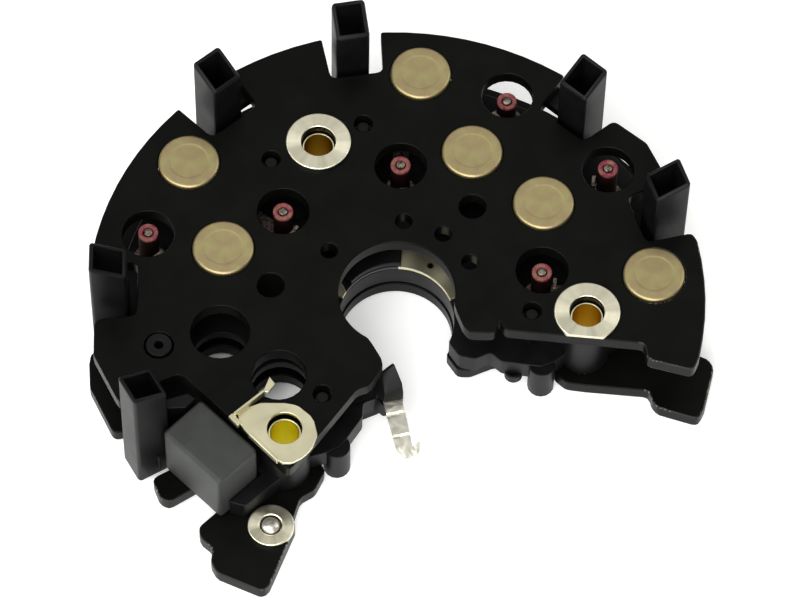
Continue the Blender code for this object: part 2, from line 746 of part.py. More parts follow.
def strip_arm(name, start, end, wide, group):
    """A straight length of strip between two places."""
    middle = (start + end) / 2
    along = end - start
    turn = math.degrees(math.atan2(along.y, along.x)) - 90
    return box(name, middle, (wide, along.length), turn, STRIP_BOTTOM, STRIP_TOP, group)


def phase_strip(name, spine, terminals, tabs, group, cutter_group, finish):
    """A tinned conductor: a curved spine, an arm to each lead, an eye round it and raised tabs."""
    radius, start, end = spine
    outline = arc(radius - STRIP_WIDE / 2, start, end) + arc(radius + STRIP_WIDE / 2, end, start)
    base = slab(name, [outline], STRIP_BOTTOM, STRIP_TOP, group)
    solids, cuts = [], []
    for place in terminals:
        eye = at(*place)
        foot = at(radius, min(max(place[1], start), end))
        solids.append(strip_arm("arm", foot, eye, STRIP_WIDE - 0.6, group))
        solids.append(cylinder("eye", eye, EYE_R, STRIP_BOTTOM, STRIP_TOP, group, 20))
        cuts.append(
            cylinder("eye_way", eye, LEAD_R + 0.15, STRIP_BOTTOM - 1, STRIP_TOP + 1, cutter_group, 12)
        )
    for place, bearing in tabs:
        reach = SLEEVE_R + FIT + STRIP_THICK / 2
        turn = math.radians(bearing)
        centre = at(*place) + Vector((math.cos(turn), math.sin(turn), 0)) * reach
        size = (STRIP_THICK, TAB_WIDE)
        solids.append(box("tab", centre, size, bearing, STRIP_BOTTOM + 0.2, STRIP_TOP + TAB_TALL, group))
    flat = combine(base, solids, "UNION", "MANIFOLD")
    return finished(combine(flat, cuts, "DIFFERENCE", "MANIFOLD"), finish, name)


def conductors(group, cutter_group, finish):
    upper, lower = UPPER_DIODES, LOWER_DIODES
    tabs = list(zip(LOWER_DIODES, TAB_BEARINGS))
    plans = (
        ("phase_strip_back", (47.0, -30.0, 30.0), upper[:2] + lower[:2], tabs[:2]),
        ("phase_strip_left", (45.4, 46.0, 56.0), (upper[2], lower[2]), tabs[2:3]),
        ("phase_strip_front", (45.4, -56.0, -46.0), (upper[3], lower[3]), tabs[3:4]),
        ("phase_strip_right", (45.4, -108.0, -78.0), upper[4:] + lower[4:], tabs[4:]),
    )
    for name, spine, terminals, raised in plans:
        phase_strip(name, spine, terminals, raised, group, cutter_group, finish)
    ring = arc(WEB_INNER_R, 42, -93) + arc(WEB_INNER_R + RING_STRIP_WIDE, -93, 42)
    slab("ring_strip", [ring], STRIP_BOTTOM, STRIP_TOP, group, finish)


def contact_spring(group, finish):
    """A flat spring with two pressed ridges and a turned-up ear at its tip, clamped under the horn."""
    start, end = (Vector((*place, SPRING_LEVEL)) for place in (SPRING_START, SPRING_END))
    along = end - start
    across = Vector((-along.y, along.x, 0)).normalized() * SPRING_WIDE / 2
    # share of the length, rise above the clamped end, and share of the half width on the left and right
    bends = (
        (0.0, 0.0, 1.0, 1.0),
        (0.26, 0.0, 1.0, 1.0),
        (0.3, -0.5, 1.0, 1.0),
        (0.34, 0.0, 0.99, 0.99),
        (0.5, 0.2, 0.97, 0.97),
        (0.63, 0.1, 0.94, 0.94),
        (0.67, -0.4, 0.93, 0.93),
        (0.71, 0.1, 0.92, 0.92),
        (0.86, -0.2, 0.88, 0.9),
        (1.0, -0.9, 0.1, 0.65),
    )
    work = bmesh.new()
    rows = []
    for share, rise, left, right in bends:
        middle = start + along * share + Vector((0, 0, rise))
        rows.append([work.verts.new(spot * MM) for spot in (middle - across * left, middle + across * right)])
    for (a, b), (c, d) in zip(rows, rows[1:]):
        work.faces.new((a, b, d, c))
    ear = [work.verts.new(vert.co + Vector(EAR_OF_SPRING) * MM) for vert in (rows[-2][1], rows[-1][1])]
    work.faces.new((rows[-2][1], ear[0], ear[1], rows[-1][1]))
    bmesh.ops.recalc_face_normals(work, faces=work.faces)
    mesh = bpy.data.meshes.new("contact_spring")
    work.to_mesh(mesh)
    work.free()
    made = thing("contact_spring", mesh, group, finish)
    shell = made.modifiers.new("thickness", "SOLIDIFY")
    shell.thickness = SPRING_THICK * MM
    shell.offset = 0
    return made


def fixings(group, cutter_group, finishes):
    inner = TUBE_R - TUBE_WALL
    top = WASHER_TOP - TUBE_BELOW_WASHER
    for name, place in FIXINGS.items():
        tube = turned(
            f"fixing_tube_{name}",
            [(TUBE_R, top), (TUBE_R, LOWER_BOTTOM), (inner, LOWER_BOTTOM), (inner, top)],
            group,
            finishes["yellow"],
            ring=True,
        )
        tube.location = at(*place) * MM
        if name == "left":
            continue
        washer = turned(
            f"flanged_washer_{name}",
            [
                (WASHER_R - 0.3, WASHER_TOP),
                (WASHER_R, WASHER_TOP - 0.3),
                (WASHER_R, UPPER_TOP + STACK_GAP),
                (SPIGOT_R, UPPER_TOP + STACK_GAP),
                (SPIGOT_R, UPPER_TOP - SPIGOT_LONG),
                (WASHER_BORE_R, UPPER_TOP - SPIGOT_LONG),
                (WASHER_BORE_R, WASHER_TOP),
            ],
            group,
            finishes["aluminium"],
            ring=True,
            sides=28,
        )
        washer.location = at(*place) * MM
        if name == "right":
            trim_washer(washer, place, cutter_group, finishes["aluminium"])


def trim_washer(washer, place, cutter_group, finish):
    """Cuts the right washer flush with the front edge of the upper plate."""
    edge = box(
        "washer_trim",
        at(*place) + front_way() * (FRONT_EDGE + 5),
        (40, 10),
        FRONT_EDGE_TURN,
        UPPER_TOP - 0.05,
        WASHER_TOP + 1,
        cutter_group,
    )
    finished(combine(washer, [edge], "DIFFERENCE"), finish)


def front_way():
    """Unit vector square to the right front edge, pointing out of the plate."""
    turn = math.radians(FRONT_EDGE_TURN - 90)
    return Vector((math.cos(turn), math.sin(turn), 0))


def fold(ends, thick, tall, group):
    """A lip of the terminal's sheet, turned up along a line between two places."""
    start, end = (at(*place) for place in ends)
    along = end - start
    turn = math.degrees(math.atan2(along.y, along.x)) - 90
    bottom = UPPER_TOP + STACK_GAP
    return box("fold", (start + end) / 2, (thick, along.length), turn, bottom, bottom + tall, group)


def terminal(group, finish):
    """The capacitor's ring terminal about the left fixing, with its lips and its clip."""
    bottom = UPPER_TOP + STACK_GAP
    outline = rounded([at(*place) for place in TERMINAL_EDGE], TERMINAL_ROUND)
    hole = circle(at(*FIXINGS["left"]), WASHER_BORE_R)
    sheet = slab("capacitor_terminal", [outline, hole], bottom, bottom + TERMINAL_THICK, group)
    clip_bottom = bottom + TERMINAL_CLIP_RISE
    folds = [
        fold(TERMINAL_BACK_FOLD, TERMINAL_FOLD, TERMINAL_BACK_TALL, group),
        fold(TERMINAL_FRONT_FOLD, TERMINAL_FOLD, TERMINAL_FRONT_TALL, group),
        fold(TERMINAL_CORNER_FOLD, 2 * TERMINAL_FOLD, TERMINAL_CORNER_TALL, group),
        slab(
            "clip", [[at(*place) for place in TERMINAL_CLIP]], clip_bottom, clip_bottom + TERMINAL_FOLD, group
        ),
    ]
    return finished(combine(sheet, folds, "UNION", "MANIFOLD"), finish)


def capacitor(group, finishes):
    block = box(
        "capacitor_block",
        at(*BLOCK_PLACE),
        (BLOCK_LONG, BLOCK_WIDE),
        BLOCK_TURN,
        LOWER_TOP + FIT,
        LOWER_TOP + FIT + BLOCK_TALL,
        group,
        finishes["block"],
    )
    edge = block.modifiers.new("edge", "BEVEL")
    edge.width = BLOCK_EDGE * MM
    edge.segments = 2
    terminal(group, finishes["tin"])


def ear_fixing(group, finishes):
    bottom = LOWER_TOP + STACK_GAP
    washer = turned(
        "ear_washer",
        [
            (EAR_WASHER_R - 0.2, bottom + EAR_WASHER_THICK),
            (EAR_WASHER_R, bottom + EAR_WASHER_THICK - 0.2),
            (EAR_WASHER_R, bottom),
            (RIVET_HOLE_R + FIT, bottom),
            (RIVET_HOLE_R + FIT, bottom + EAR_WASHER_THICK),
        ],
        group,
        finishes["aluminium"],
        ring=True,
    )
    head = bottom + EAR_WASHER_THICK
    rivet = turned(
        "ear_rivet",
        [
            (0, head + 0.5),
            (0.8 * RIVET_R, head + 0.3),
            (RIVET_R, head - 0.2),
            (RIVET_R, LOWER_BOTTOM),
            (0, LOWER_BOTTOM),
        ],
        group,
        finishes["aluminium"],
        sides=20,
    )
    for piece in (washer, rivet):
        piece.location = at(*EAR_RIVET) * MM


def centre_on_origin(group):
    """Moves the whole part so that the middle of its underside is the origin."""
    bpy.context.view_layer.update()
    graph = bpy.context.evaluated_depsgraph_get()
    corners = [
        item.matrix_world @ vertex.co
        for item in group.objects
        for vertex in item.evaluated_get(graph).data.vertices
    ]
    low = Vector([min(corner[i] for corner in corners) for i in range(3)])
    high = Vector([max(corner[i] for corner in corners) for i in range(3)])
    shift = Vector(((low.x + high.x) / 2, (low.y + high.y) / 2, low.z))
    for item in group.objects:
        item.matrix_world = Matrix.Translation(-shift) @ item.matrix_world


def main():
    start_empty()
    group, cutter_group = collection("alternator_rectifier"), collection("cutters")
    finishes = {
        "plate": surface("black_coated_aluminium", (0.012, 0.012, 0.012), 0.45, 0.0),
        "plastic": surface("black_moulded_plastic", (0.009, 0.009, 0.01), 0.4, 0.0),
        "cup": surface("nickel_plated_copper", (0.56, 0.5, 0.36), 0.35, 1.0),
        "tin": surface("tinned_steel", (0.72, 0.7, 0.62), 0.3, 1.0),
        "sleeve": surface("pink_sleeving", (0.55, 0.1, 0.1), 0.5, 0.0),
        "aluminium": surface("bare_aluminium", (0.85, 0.84, 0.78), 0.3, 1.0),
        "yellow": surface("yellow_passivated_steel", (0.6, 0.38, 0.04), 0.35, 1.0),
        "block": surface("dark_grey_epoxy", (0.035, 0.038, 0.036), 0.5, 0.0),
    }
    upper_plate(group, finishes["plate"])
    lower_plate(group, finishes["plate"])
    carrier(group, cutter_group, finishes["plastic"])
    diodes(group, finishes)
    conductors(group, cutter_group, finishes["tin"])
    contact_spring(group, finishes["tin"])
    fixings(group, cutter_group, finishes)
    capacitor(group, finishes)
    ear_fixing(group, finishes)
    centre_on_origin(group)


main()
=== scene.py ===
"""Dresses the alternator rectifier: its finishes, its turned and sheet-metal pieces, and its studio."""

import math

import bmesh
import bpy
from mathutils import Matrix, Vector


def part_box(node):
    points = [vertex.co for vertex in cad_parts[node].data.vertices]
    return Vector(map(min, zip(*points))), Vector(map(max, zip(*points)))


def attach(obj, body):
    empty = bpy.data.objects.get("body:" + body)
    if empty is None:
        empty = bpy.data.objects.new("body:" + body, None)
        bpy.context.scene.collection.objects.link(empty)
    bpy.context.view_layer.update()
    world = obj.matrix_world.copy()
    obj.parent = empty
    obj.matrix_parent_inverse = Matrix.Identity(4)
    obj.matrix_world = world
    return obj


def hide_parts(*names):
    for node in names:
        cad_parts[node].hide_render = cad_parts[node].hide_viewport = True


bl_info = {
    "name": "Alternator rectifier",
    "version": (1, 0, 0),
    "blender": (4, 5, 0),
    "location": "3D View > Sidebar > Rectifier",
    "description": "Finishes and fine pieces of an alternator rectifier, with its studio",
    "category": "Object",
}

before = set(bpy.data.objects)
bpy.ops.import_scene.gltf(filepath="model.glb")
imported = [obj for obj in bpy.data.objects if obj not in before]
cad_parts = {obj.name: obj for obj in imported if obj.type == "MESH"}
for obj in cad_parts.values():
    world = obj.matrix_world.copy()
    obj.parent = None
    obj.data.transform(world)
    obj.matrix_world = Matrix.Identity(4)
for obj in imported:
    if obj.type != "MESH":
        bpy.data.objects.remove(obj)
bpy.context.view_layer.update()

MM = 0.001


def middle(node):
    """The centre of a solid's box, in the part's frame."""
    low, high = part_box(node)
    return (Vector(low) + Vector(high)) / 2


def top_of(node):
    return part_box(node)[1][2]


def bottom_of(node):
    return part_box(node)[0][2]


FIXING_RADIUS = 39.5  # millimetres from the shaft axis to the back fixing's axis

# The shaft axis stands in front of the back fixing.
SHAFT = middle("fixing_tube_back") - Vector((0, FIXING_RADIUS * MM, 0))


def at(radius, angle, height):
    """A point: millimetres from the shaft axis, degrees from the closed back, and a height in metres."""
    turn = math.radians(angle)
    side = Vector((-radius * math.sin(turn), radius * math.cos(turn), 0)) * MM
    return Vector((SHAFT.x, SHAFT.y, height)) + side


# ---------------------------------------------------------------- sizes and colours


def linear(hex_colour):
    """An sRGB hex colour as linear red, green, blue and alpha."""
    parts = [int(hex_colour[i : i + 2], 16) / 255 for i in (1, 3, 5)]
    return tuple(c / 12.92 if c <= 0.04045 else ((c + 0.055) / 1.055) ** 2.4 for c in parts) + (1.0,)


def length(name, words, default):
    return bpy.props.FloatProperty(
        name=name, description=words, default=default * MM, unit="LENGTH", precision=5
    )


def colour(name, words, default):
    return bpy.props.FloatVectorProperty(
        name=name, description=words, default=linear(default), size=4, subtype="COLOR", min=0, max=1
    )


class RectifierSizes(bpy.types.PropertyGroup):
    plate_edge: length("Plate edge", "Rounding of the heat sinks' stamped edges", 0.3)
    moulding_edge: length("Moulding edge", "Rounding of the carrier's moulded edges", 0.22)
    sheet_edge: length("Sheet edge", "Rounding of the tinned strips' edges", 0.1)
    terminal_edge: length("Terminal edge", "Rounding of the ring terminal's edges", 0.16)
    cup_edge: length("Cup edge", "Rounding of a diode cup's rim", 0.6)
    dish_radius: length("Dish radius", "Radius of the pressed ring in a diode cup's face", 4.1)
    sleeve_lip: length("Sleeve lip", "Rounding of a lead sleeve's open end", 0.35)
    sleeve_rise: length("Sleeve rise", "How far a sleeve stands past its solid", 0.7)


class RectifierColours(bpy.types.PropertyGroup):
    coating: colour("Plate coating", "Black coating of the heat sinks", "#080807")
    wear_and_painted_highlight: colour("Rubbed aluminium", "Aluminium where the ears' coating is rubbed through", "#77776f")
    moulding: colour("Moulding", "Black glass-filled nylon of the carrier", "#0a0a0b")
    cup: colour("Diode cup", "Plated face of the diode cups", "#b2a57c")
    tin: colour("Tin", "Ring terminal and the bare ends of the ring strip", "#e2dcba")
    spring: colour("Spring metal", "Contact spring and the rivet on the ear", "#e6e3d4")
    aluminium: colour("Aluminium", "Turned washers", "#f4efd4")
    # The back tube's deeper tint is painted shade, and the left tube's paler tint is painted light.
    shaded_yellow: colour("Thick passivation", "Fixing tube at the back", "#bca200")
    amber: colour("Passivation", "Fixing tube at the right", "#e2c200")
    lit_yellow: colour("Thin passivation", "Fixing tube under the terminal", "#fcf626")
    # pale colour of a painted highlight on the fixing tubes' rims
    painted_rim_highlight: colour("Bare zinc", "Rubbed rims of the fixing tubes", "#f4f0c8")
    sleeve: colour("Sleeve varnish", "Varnish at the rims of the lead sleeves", "#6e1c36")
    glass: colour("Sleeve glass", "Glass braid between the patches of varnish", "#805c4e")
    block: colour("Capacitor case", "Cast case of the capacitor", "#2e302e")
    floor: colour("Floor", "Studio floor", "#f4f4f2")


def sizes():
    return bpy.context.scene.rectifier_sizes


def colours():
    return bpy.context.scene.rectifier_colours


# ---------------------------------------------------------------- finishes
# A noise's scale is in patches to the metre, and a bump's distance is in metres.


def node(tree, kind, inputs=None, stops=(), **settings):
    """Adds a node, with its settings and the places and colours of its ramp's stops.

    An input is a value, the output that it is linked to, or a node whose first output it is linked to.
    """
    made = tree.nodes.new(kind)
    for name, value in settings.items():
        setattr(made, name, value)
    for name, value in (inputs or {}).items():
        if isinstance(value, bpy.types.Node):
            value = value.outputs[0]
        if isinstance(value, bpy.types.NodeSocket):
            tree.links.new(value, made.inputs[name])
        else:
            made.inputs[name].default_value = value
    for number, (place, tint) in enumerate(stops):
        stop = made.color_ramp.elements[number]
        stop.position, stop.color = place, tint
    return made


def blank(name):
    """A material with only object coordinates; returns it, its tree and those."""
    made = bpy.data.materials.new(name)
    made.use_nodes = True
    tree = made.node_tree
    tree.nodes.clear()
    return made, tree, node(tree, "ShaderNodeTexCoord").outputs["Object"]


def finish(material, surface):
    """Gives the material a surface with these values and links."""
    tree = material.node_tree
    shader = node(tree, "ShaderNodeBsdfPrincipled", surface)
    node(tree, "ShaderNodeOutputMaterial", {"Surface": shader})
    return material


def shades(dark, light):
    """The stops of a ramp that runs from dark to light in the middle, where noise lies."""
    return (0.3, dark), (0.7, light)


def scaled(tint, *shares):
    """A colour with its red, green and blue times these shares, or all times one share."""
    shares = shares if len(shares) == 3 else shares * 3
    return tuple(min(1.0, c * share) for c, share in zip(tint, shares)) + (1.0,)


def black_coating():
    """Aluminium with a black dipped coat: deep black, an uneven satin sheen, a slight orange peel."""
    tint = colours().coating
    made, tree, place = blank("black_coated_aluminium")
    # patches some 6 mm across where the coat is thinner
    patches = node(tree, "ShaderNodeTexNoise", {"Vector": place, "Scale": 160.0, "Detail": 5.0})
    thick, thin = scaled(tint, 0.75), scaled(tint, 1.35)
    tone = node(tree, "ShaderNodeValToRGB", {"Fac": patches}, shades(thick, thin))
    rough = node(tree, "ShaderNodeMapRange", {"Value": patches, "To Min": 0.3, "To Max": 0.42})
    # orange peel of about 0.5 mm, drawn a little coarser than it is so that it shows
    peel = node(tree, "ShaderNodeTexNoise", {"Vector": place, "Scale": 1900.0, "Detail": 2.0})
    bump = node(tree, "ShaderNodeBump", {"Height": peel, "Strength": 0.25, "Distance": 0.00003})
    surface = {"Base Color": tone, "Roughness": rough, "Specular IOR Level": 0.08, "Normal": bump}
    return finish(made, surface)


def worn_coating():
    """The same coat on a stamped rim, worn through to grey aluminium in specks."""
    made, tree, place = blank("worn_black_coat")
    # specks of about 0.4 mm, thick in some places and missing in others
    specks = node(tree, "ShaderNodeTexNoise", {"Vector": place, "Scale": 2200.0, "Detail": 3.0})
    places = node(tree, "ShaderNodeTexNoise", {"Vector": place, "Scale": 60.0, "Detail": 1.0})
    both = node(tree, "ShaderNodeMath", {0: specks, 1: places}, operation="MULTIPLY")
    wear = node(tree, "ShaderNodeMapRange", {"Value": both, "From Min": 0.24, "From Max": 0.4})
    tone = node(tree, "ShaderNodeValToRGB", {"Fac": wear}, shades(colours().coating, colours().wear_and_painted_highlight))
    return finish(made, {"Base Color": tone, "Roughness": 0.38, "Specular IOR Level": 0.3})


def black_moulding():
    """Glass-filled nylon from a spark-eroded mould: black, with a greyish satin bloom and fine grain."""
    tint = colours().moulding
    made, tree, place = blank("black_moulded_plastic")
    # bloom in patches of 4 to 5 mm
    bloom = node(tree, "ShaderNodeTexNoise", {"Vector": place, "Scale": 220.0, "Detail": 4.0})
    tone = node(tree, "ShaderNodeValToRGB", {"Fac": bloom}, shades(scaled(tint, 0.8), scaled(tint, 1.5)))
    rough = node(tree, "ShaderNodeMapRange", {"Value": bloom, "To Min": 0.34, "To Max": 0.52})
    # eroded grain of about 0.2 mm
    grain = node(tree, "ShaderNodeTexNoise", {"Vector": place, "Scale": 4500.0, "Detail": 1.0})
    bump = node(tree, "ShaderNodeBump", {"Height": grain, "Strength": 0.3, "Distance": 0.00003})
    surface = {"Base Color": tone, "Roughness": rough, "Specular IOR Level": 0.16, "Normal": bump}
    return finish(made, surface)


def plated_cup(centre):
    """Nickel over copper, pressed and tumbled: a warm champagne metal, matt, with rub marks."""
    tint = colours().cup
    rosy, olive = scaled(tint, 0.9, 0.8, 0.84), scaled(tint, 1.04, 1.1, 0.96)
    made, tree, place = blank("nickel_plated_copper")
    local = node(tree, "ShaderNodeMapping", {"Vector": place, "Location": -centre})
    # stains some 3 mm across
    stain = node(tree, "ShaderNodeTexNoise", {"Vector": local, "Scale": 330.0, "Detail": 6.0})
    tone = node(tree, "ShaderNodeValToRGB", {"Fac": stain}, shades(rosy, olive))
    rough = node(tree, "ShaderNodeMapRange", {"Value": stain, "To Min": 0.4, "To Max": 0.52})
    # tumbling marks of about 0.15 mm
    marks = node(tree, "ShaderNodeTexNoise", {"Vector": local, "Scale": 6000.0, "Detail": 2.0})
    bump = node(tree, "ShaderNodeBump", {"Height": marks, "Strength": 0.2, "Distance": 0.00002})
    return finish(made, {"Base Color": tone, "Metallic": 1.0, "Roughness": rough, "Normal": bump})


def turned_aluminium(centre):
    """Bare aluminium from a lathe: bright, with a painted highlight and shade in the fans that fine
    rings throw.
    """
    tint = colours().aluminium
    made, tree, place = blank("bare_aluminium")
    local = node(tree, "ShaderNodeMapping", {"Vector": place, "Location": -centre})
    # rings some 1.6 mm apart (a wave has 3.2 to a unit of scale), a little uneven and far
    # coarser than real ones, so that they show
    wave = {"Vector": local, "Scale": 200.0, "Distortion": 0.6, "Detail": 3.0, "Detail Scale": 1.5}
    rings = node(tree, "ShaderNodeTexWave", wave, wave_type="RINGS", rings_direction="Z").outputs["Fac"]
    rough = node(tree, "ShaderNodeMapRange", {"Value": rings, "To Min": 0.3, "To Max": 0.34})
    # the sheen runs round the axis
    around = node(tree, "ShaderNodeVectorMath", {0: local, 1: (0, 0, 1)}, operation="CROSS_PRODUCT")
    # painted highlight and shade run out from the axis in uneven sectors
    way = node(tree, "ShaderNodeVectorMath", {0: local}, operation="NORMALIZE")
    painted_fan = node(tree, "ShaderNodeTexNoise", {"Vector": way, "Scale": 1.7, "Detail": 2.0})
    tone = node(tree, "ShaderNodeValToRGB", {"Fac": painted_fan}, shades(scaled(tint, 0.68), scaled(tint, 1.08)))
    surface = {"Base Color": tone, "Metallic": 1.0, "Roughness": rough, "Anisotropic": 0.88}
    surface["Tangent"] = around
    return finish(made, surface)


def tinned():
    """Steel strip with a hot tin coat: pale cream, smooth and satin, with faint flow marks."""
    tint = colours().tin
    made, tree, place = blank("tinned_steel")
    # flow marks some 4 mm across
    marks = {"Vector": place, "Scale": 250.0, "Detail": 2.0, "Distortion": 0.4}
    flow = node(tree, "ShaderNodeTexNoise", marks)
    dark, light = scaled(tint, 0.93), scaled(tint, 1.03)
    tone = node(tree, "ShaderNodeValToRGB", {"Fac": flow}, shades(dark, light))
    rough = node(tree, "ShaderNodeMapRange", {"Value": flow, "To Min": 0.32, "To Max": 0.42})
    # the sheet isn't flat: it rolls a little over some 12 mm
    roll = node(tree, "ShaderNodeTexNoise", {"Vector": place, "Scale": 80.0, "Detail": 0.0})
    bump = node(tree, "ShaderNodeBump", {"Height": roll, "Strength": 0.6, "Distance": 0.004})
    return finish(made, {"Base Color": tone, "Metallic": 1.0, "Roughness": rough, "Normal": bump})


def spring_metal():
    """Silvery spring metal: whiter than the terminal, with a satin sheen, and rippled by its bending."""
    tint = colours().spring
    made, tree, place = blank("spring_bronze")
    # ripples some 2 mm across
    marks = {"Vector": place, "Scale": 420.0, "Detail": 2.0, "Distortion": 0.6}
    ripple_and_painted_shade = node(tree, "ShaderNodeTexNoise", marks)
    # the colour darkens with the ripples: a painted shade of their uneven sheen
    tone = node(tree, "ShaderNodeValToRGB", {"Fac": ripple_and_painted_shade}, shades(scaled(tint, 0.6), tint))
    bump = node(tree, "ShaderNodeBump", {"Height": ripple_and_painted_shade, "Strength": 0.5, "Distance": 0.0005})
    return finish(made, {"Base Color": tone, "Metallic": 0.8, "Roughness": 0.3, "Normal": bump})


def half_black_ring():
    """The ring strip: bare tin at its right and left ends, black all round the back."""
    made, tree, place = blank("black_backed_tin")
    # the black covers 6.2 mm to either side of a point 0.7 mm left of the shaft
    across = node(tree, "ShaderNodeSeparateXYZ", {"Vector": place}).outputs["X"]
    off = node(tree, "ShaderNodeMath", {0: across, 1: SHAFT.x - 0.7 * MM}, operation="SUBTRACT")
    far = node(tree, "ShaderNodeMath", {0: off}, operation="ABSOLUTE")
    bare = node(tree, "ShaderNodeMapRange", {"Value": far, "From Min": 6.0 * MM, "From Max": 6.4 * MM})
    coat = node(tree, "ShaderNodeValToRGB", {"Fac": bare}, shades(colours().moulding, colours().tin))
    # a painted shade for a small pierced hole in the bare right end: a brown spot
    spot = at(14.4, -54.4, top_of("ring_strip"))
    away = node(tree, "ShaderNodeVectorMath", {0: place, 1: spot}, operation="DISTANCE").outputs["Value"]
    clear = node(tree, "ShaderNodeMapRange", {"Value": away, "From Min": 0.5 * MM, "From Max": 0.9 * MM})
    looks = {"Factor": clear, "A": linear("#2a1a0c"), "B": coat}
    tone = node(tree, "ShaderNodeMix", looks, data_type="RGBA").outputs["Result"]
    return finish(made, {"Base Color": tone, "Metallic": bare, "Roughness": 0.36})


def yellow_passivated(tint, rim):
    """Zinc-plated steel passivated yellow, golder where the passivation is thick, paler where thin.

    Its rim at the given height is painted pale: a painted highlight.
    """
    made, tree, place = blank("yellow_passivated_steel")
    # the film varies over some 4 mm
    film_and_shade = node(tree, "ShaderNodeTexNoise", {"Vector": place, "Scale": 260.0, "Detail": 3.0})
    coat = node(tree, "ShaderNodeValToRGB", {"Fac": film_and_shade}, shades(scaled(tint, 1.0, 0.88, 1.0), tint))
    rough = node(tree, "ShaderNodeMapRange", {"Value": film_and_shade, "To Min": 0.24, "To Max": 0.4})
    # painted highlight: the tube turns pale from 0.3 mm below its rim upward
    height = node(tree, "ShaderNodeSeparateXYZ", {"Vector": place}).outputs["Z"]
    reach = {"Value": height, "From Min": rim - 0.3 * MM, "From Max": rim - 0.1 * MM}
    wear_and_painted_highlight = node(tree, "ShaderNodeMapRange", reach)
    looks = {"Factor": wear_and_painted_highlight, "A": coat, "B": colours().painted_rim_highlight}
    tone = node(tree, "ShaderNodeMix", looks, data_type="RGBA").outputs["Result"]
    return finish(made, {"Base Color": tone, "Metallic": 1.0, "Roughness": rough})


def varnished_sleeve(rim, way):
    """Braided glass sleeve dipped in red varnish: dusty pink and beige at its rim, painted deep
    red-brown shade below.

    The way is 1 where the rim is the sleeve's upper end, and -1 where it is the lower one.
    """
    made, tree, place = blank("pink_sleeving")
    # patches of varnish some 1 mm across, between pink and the beige of the glass
    gather = node(tree, "ShaderNodeTexNoise", {"Vector": place, "Scale": 900.0, "Detail": 2.0})
    dry = node(tree, "ShaderNodeValToRGB", {"Fac": gather}, shades(colours().sleeve, colours().glass))
    # painted shade: the sleeve darkens from its rim within 1 mm
    height = node(tree, "ShaderNodeSeparateXYZ", {"Vector": place}).outputs["Z"]
    reach = {"Value": height, "From Min": rim - way * 0.3 * MM, "From Max": rim - way * 1.0 * MM}
    painted_shade_below_rim = node(tree, "ShaderNodeMapRange", reach)
    looks = {"Factor": painted_shade_below_rim, "A": dry, "B": linear("#140605")}
    tone = node(tree, "ShaderNodeMix", looks, data_type="RGBA").outputs["Result"]
    # braid of about 0.4 mm
    braid = node(tree, "ShaderNodeTexVoronoi", {"Vector": place, "Scale": 2500.0}).outputs["Distance"]
    bump = node(tree, "ShaderNodeBump", {"Height": braid, "Strength": 0.4, "Distance": 0.00005})
    surface = {"Base Color": tone, "Roughness": 0.75, "Specular IOR Level": 0.05, "Normal": bump}
    return finish(made, surface)


def dull_tip():
    """Tinned copper by a soldered joint, as on leads and phase strips: grey, dull, a little pinkish."""
    made, tree, place = blank("tinned_copper")
    # lumps of about 0.7 mm
    lumps = node(tree, "ShaderNodeTexNoise", {"Vector": place, "Scale": 1500.0, "Detail": 2.0})
    tone = node(tree, "ShaderNodeValToRGB", {"Fac": lumps}, shades(linear("#3c2e28"), linear("#a89c90")))
    bump = node(tree, "ShaderNodeBump", {"Height": lumps, "Strength": 0.5, "Distance": 0.0001})
    return finish(made, {"Base Color": tone, "Metallic": 1.0, "Roughness": 0.5, "Normal": bump})


def shaded_bore():
    """The bore of a washer: smooth metal in a painted shade of dark olive, which mirrors the dark
    inside.
    """
    made, tree, place = blank("painted_shade_aluminium")
    # the painted shade varies over some 2.5 mm
    film_and_shade = node(tree, "ShaderNodeTexNoise", {"Vector": place, "Scale": 400.0, "Detail": 2.0})
    tone = node(tree, "ShaderNodeValToRGB", {"Fac": film_and_shade}, shades(linear("#141006"), linear("#2a2412")))
    return finish(made, {"Base Color": tone, "Metallic": 1.0, "Roughness": 0.45})


def cast_block():
    """Epoxy-cast capacitor case: dark grey with a slight green, matt, finely pitted."""
    tint = colours().block
    made, tree, place = blank("dark_grey_epoxy")
    # clouds of some 4 mm
    cloud = node(tree, "ShaderNodeTexNoise", {"Vector": place, "Scale": 240.0, "Detail": 5.0})
    dark, light = scaled(tint, 0.85), scaled(tint, 1.18)
    tone = node(tree, "ShaderNodeValToRGB", {"Fac": cloud}, shades(dark, light))
    # pits of about 0.3 mm
    pits = node(tree, "ShaderNodeTexNoise", {"Vector": place, "Scale": 3000.0, "Detail": 2.0})
    bump = node(tree, "ShaderNodeBump", {"Height": pits, "Strength": 0.3, "Distance": 0.00004})
    surface = {"Base Color": tone, "Roughness": 0.55, "Specular IOR Level": 0.4, "Normal": bump}
    return finish(made, surface)


# ---------------------------------------------------------------- shapes


def even_shading(mesh, eased, limit=35.0):
    """Keeps flat faces flat beside rounded edges: a round takes its normals from the faces it joins."""
    around = {vertex.index: [] for vertex in mesh.vertices}
    for face in mesh.polygons:
        for vertex in face.vertices:
            around[vertex].append(face)
    normals = []
    for face in mesh.polygons:
        widest = math.radians(70.0 if face.index in eased else limit)
        for vertex in face.vertices:
            plain = [other for other in around[vertex] if other.index not in eased] or around[vertex]
            near = [other for other in plain if other.normal.angle(face.normal, 9.0) < widest]
            normal = sum((other.normal * other.area for other in near), Vector())
            normals.append(normal.normalized() if normal.length else face.normal.copy())
    mesh.normals_split_custom_set(normals)


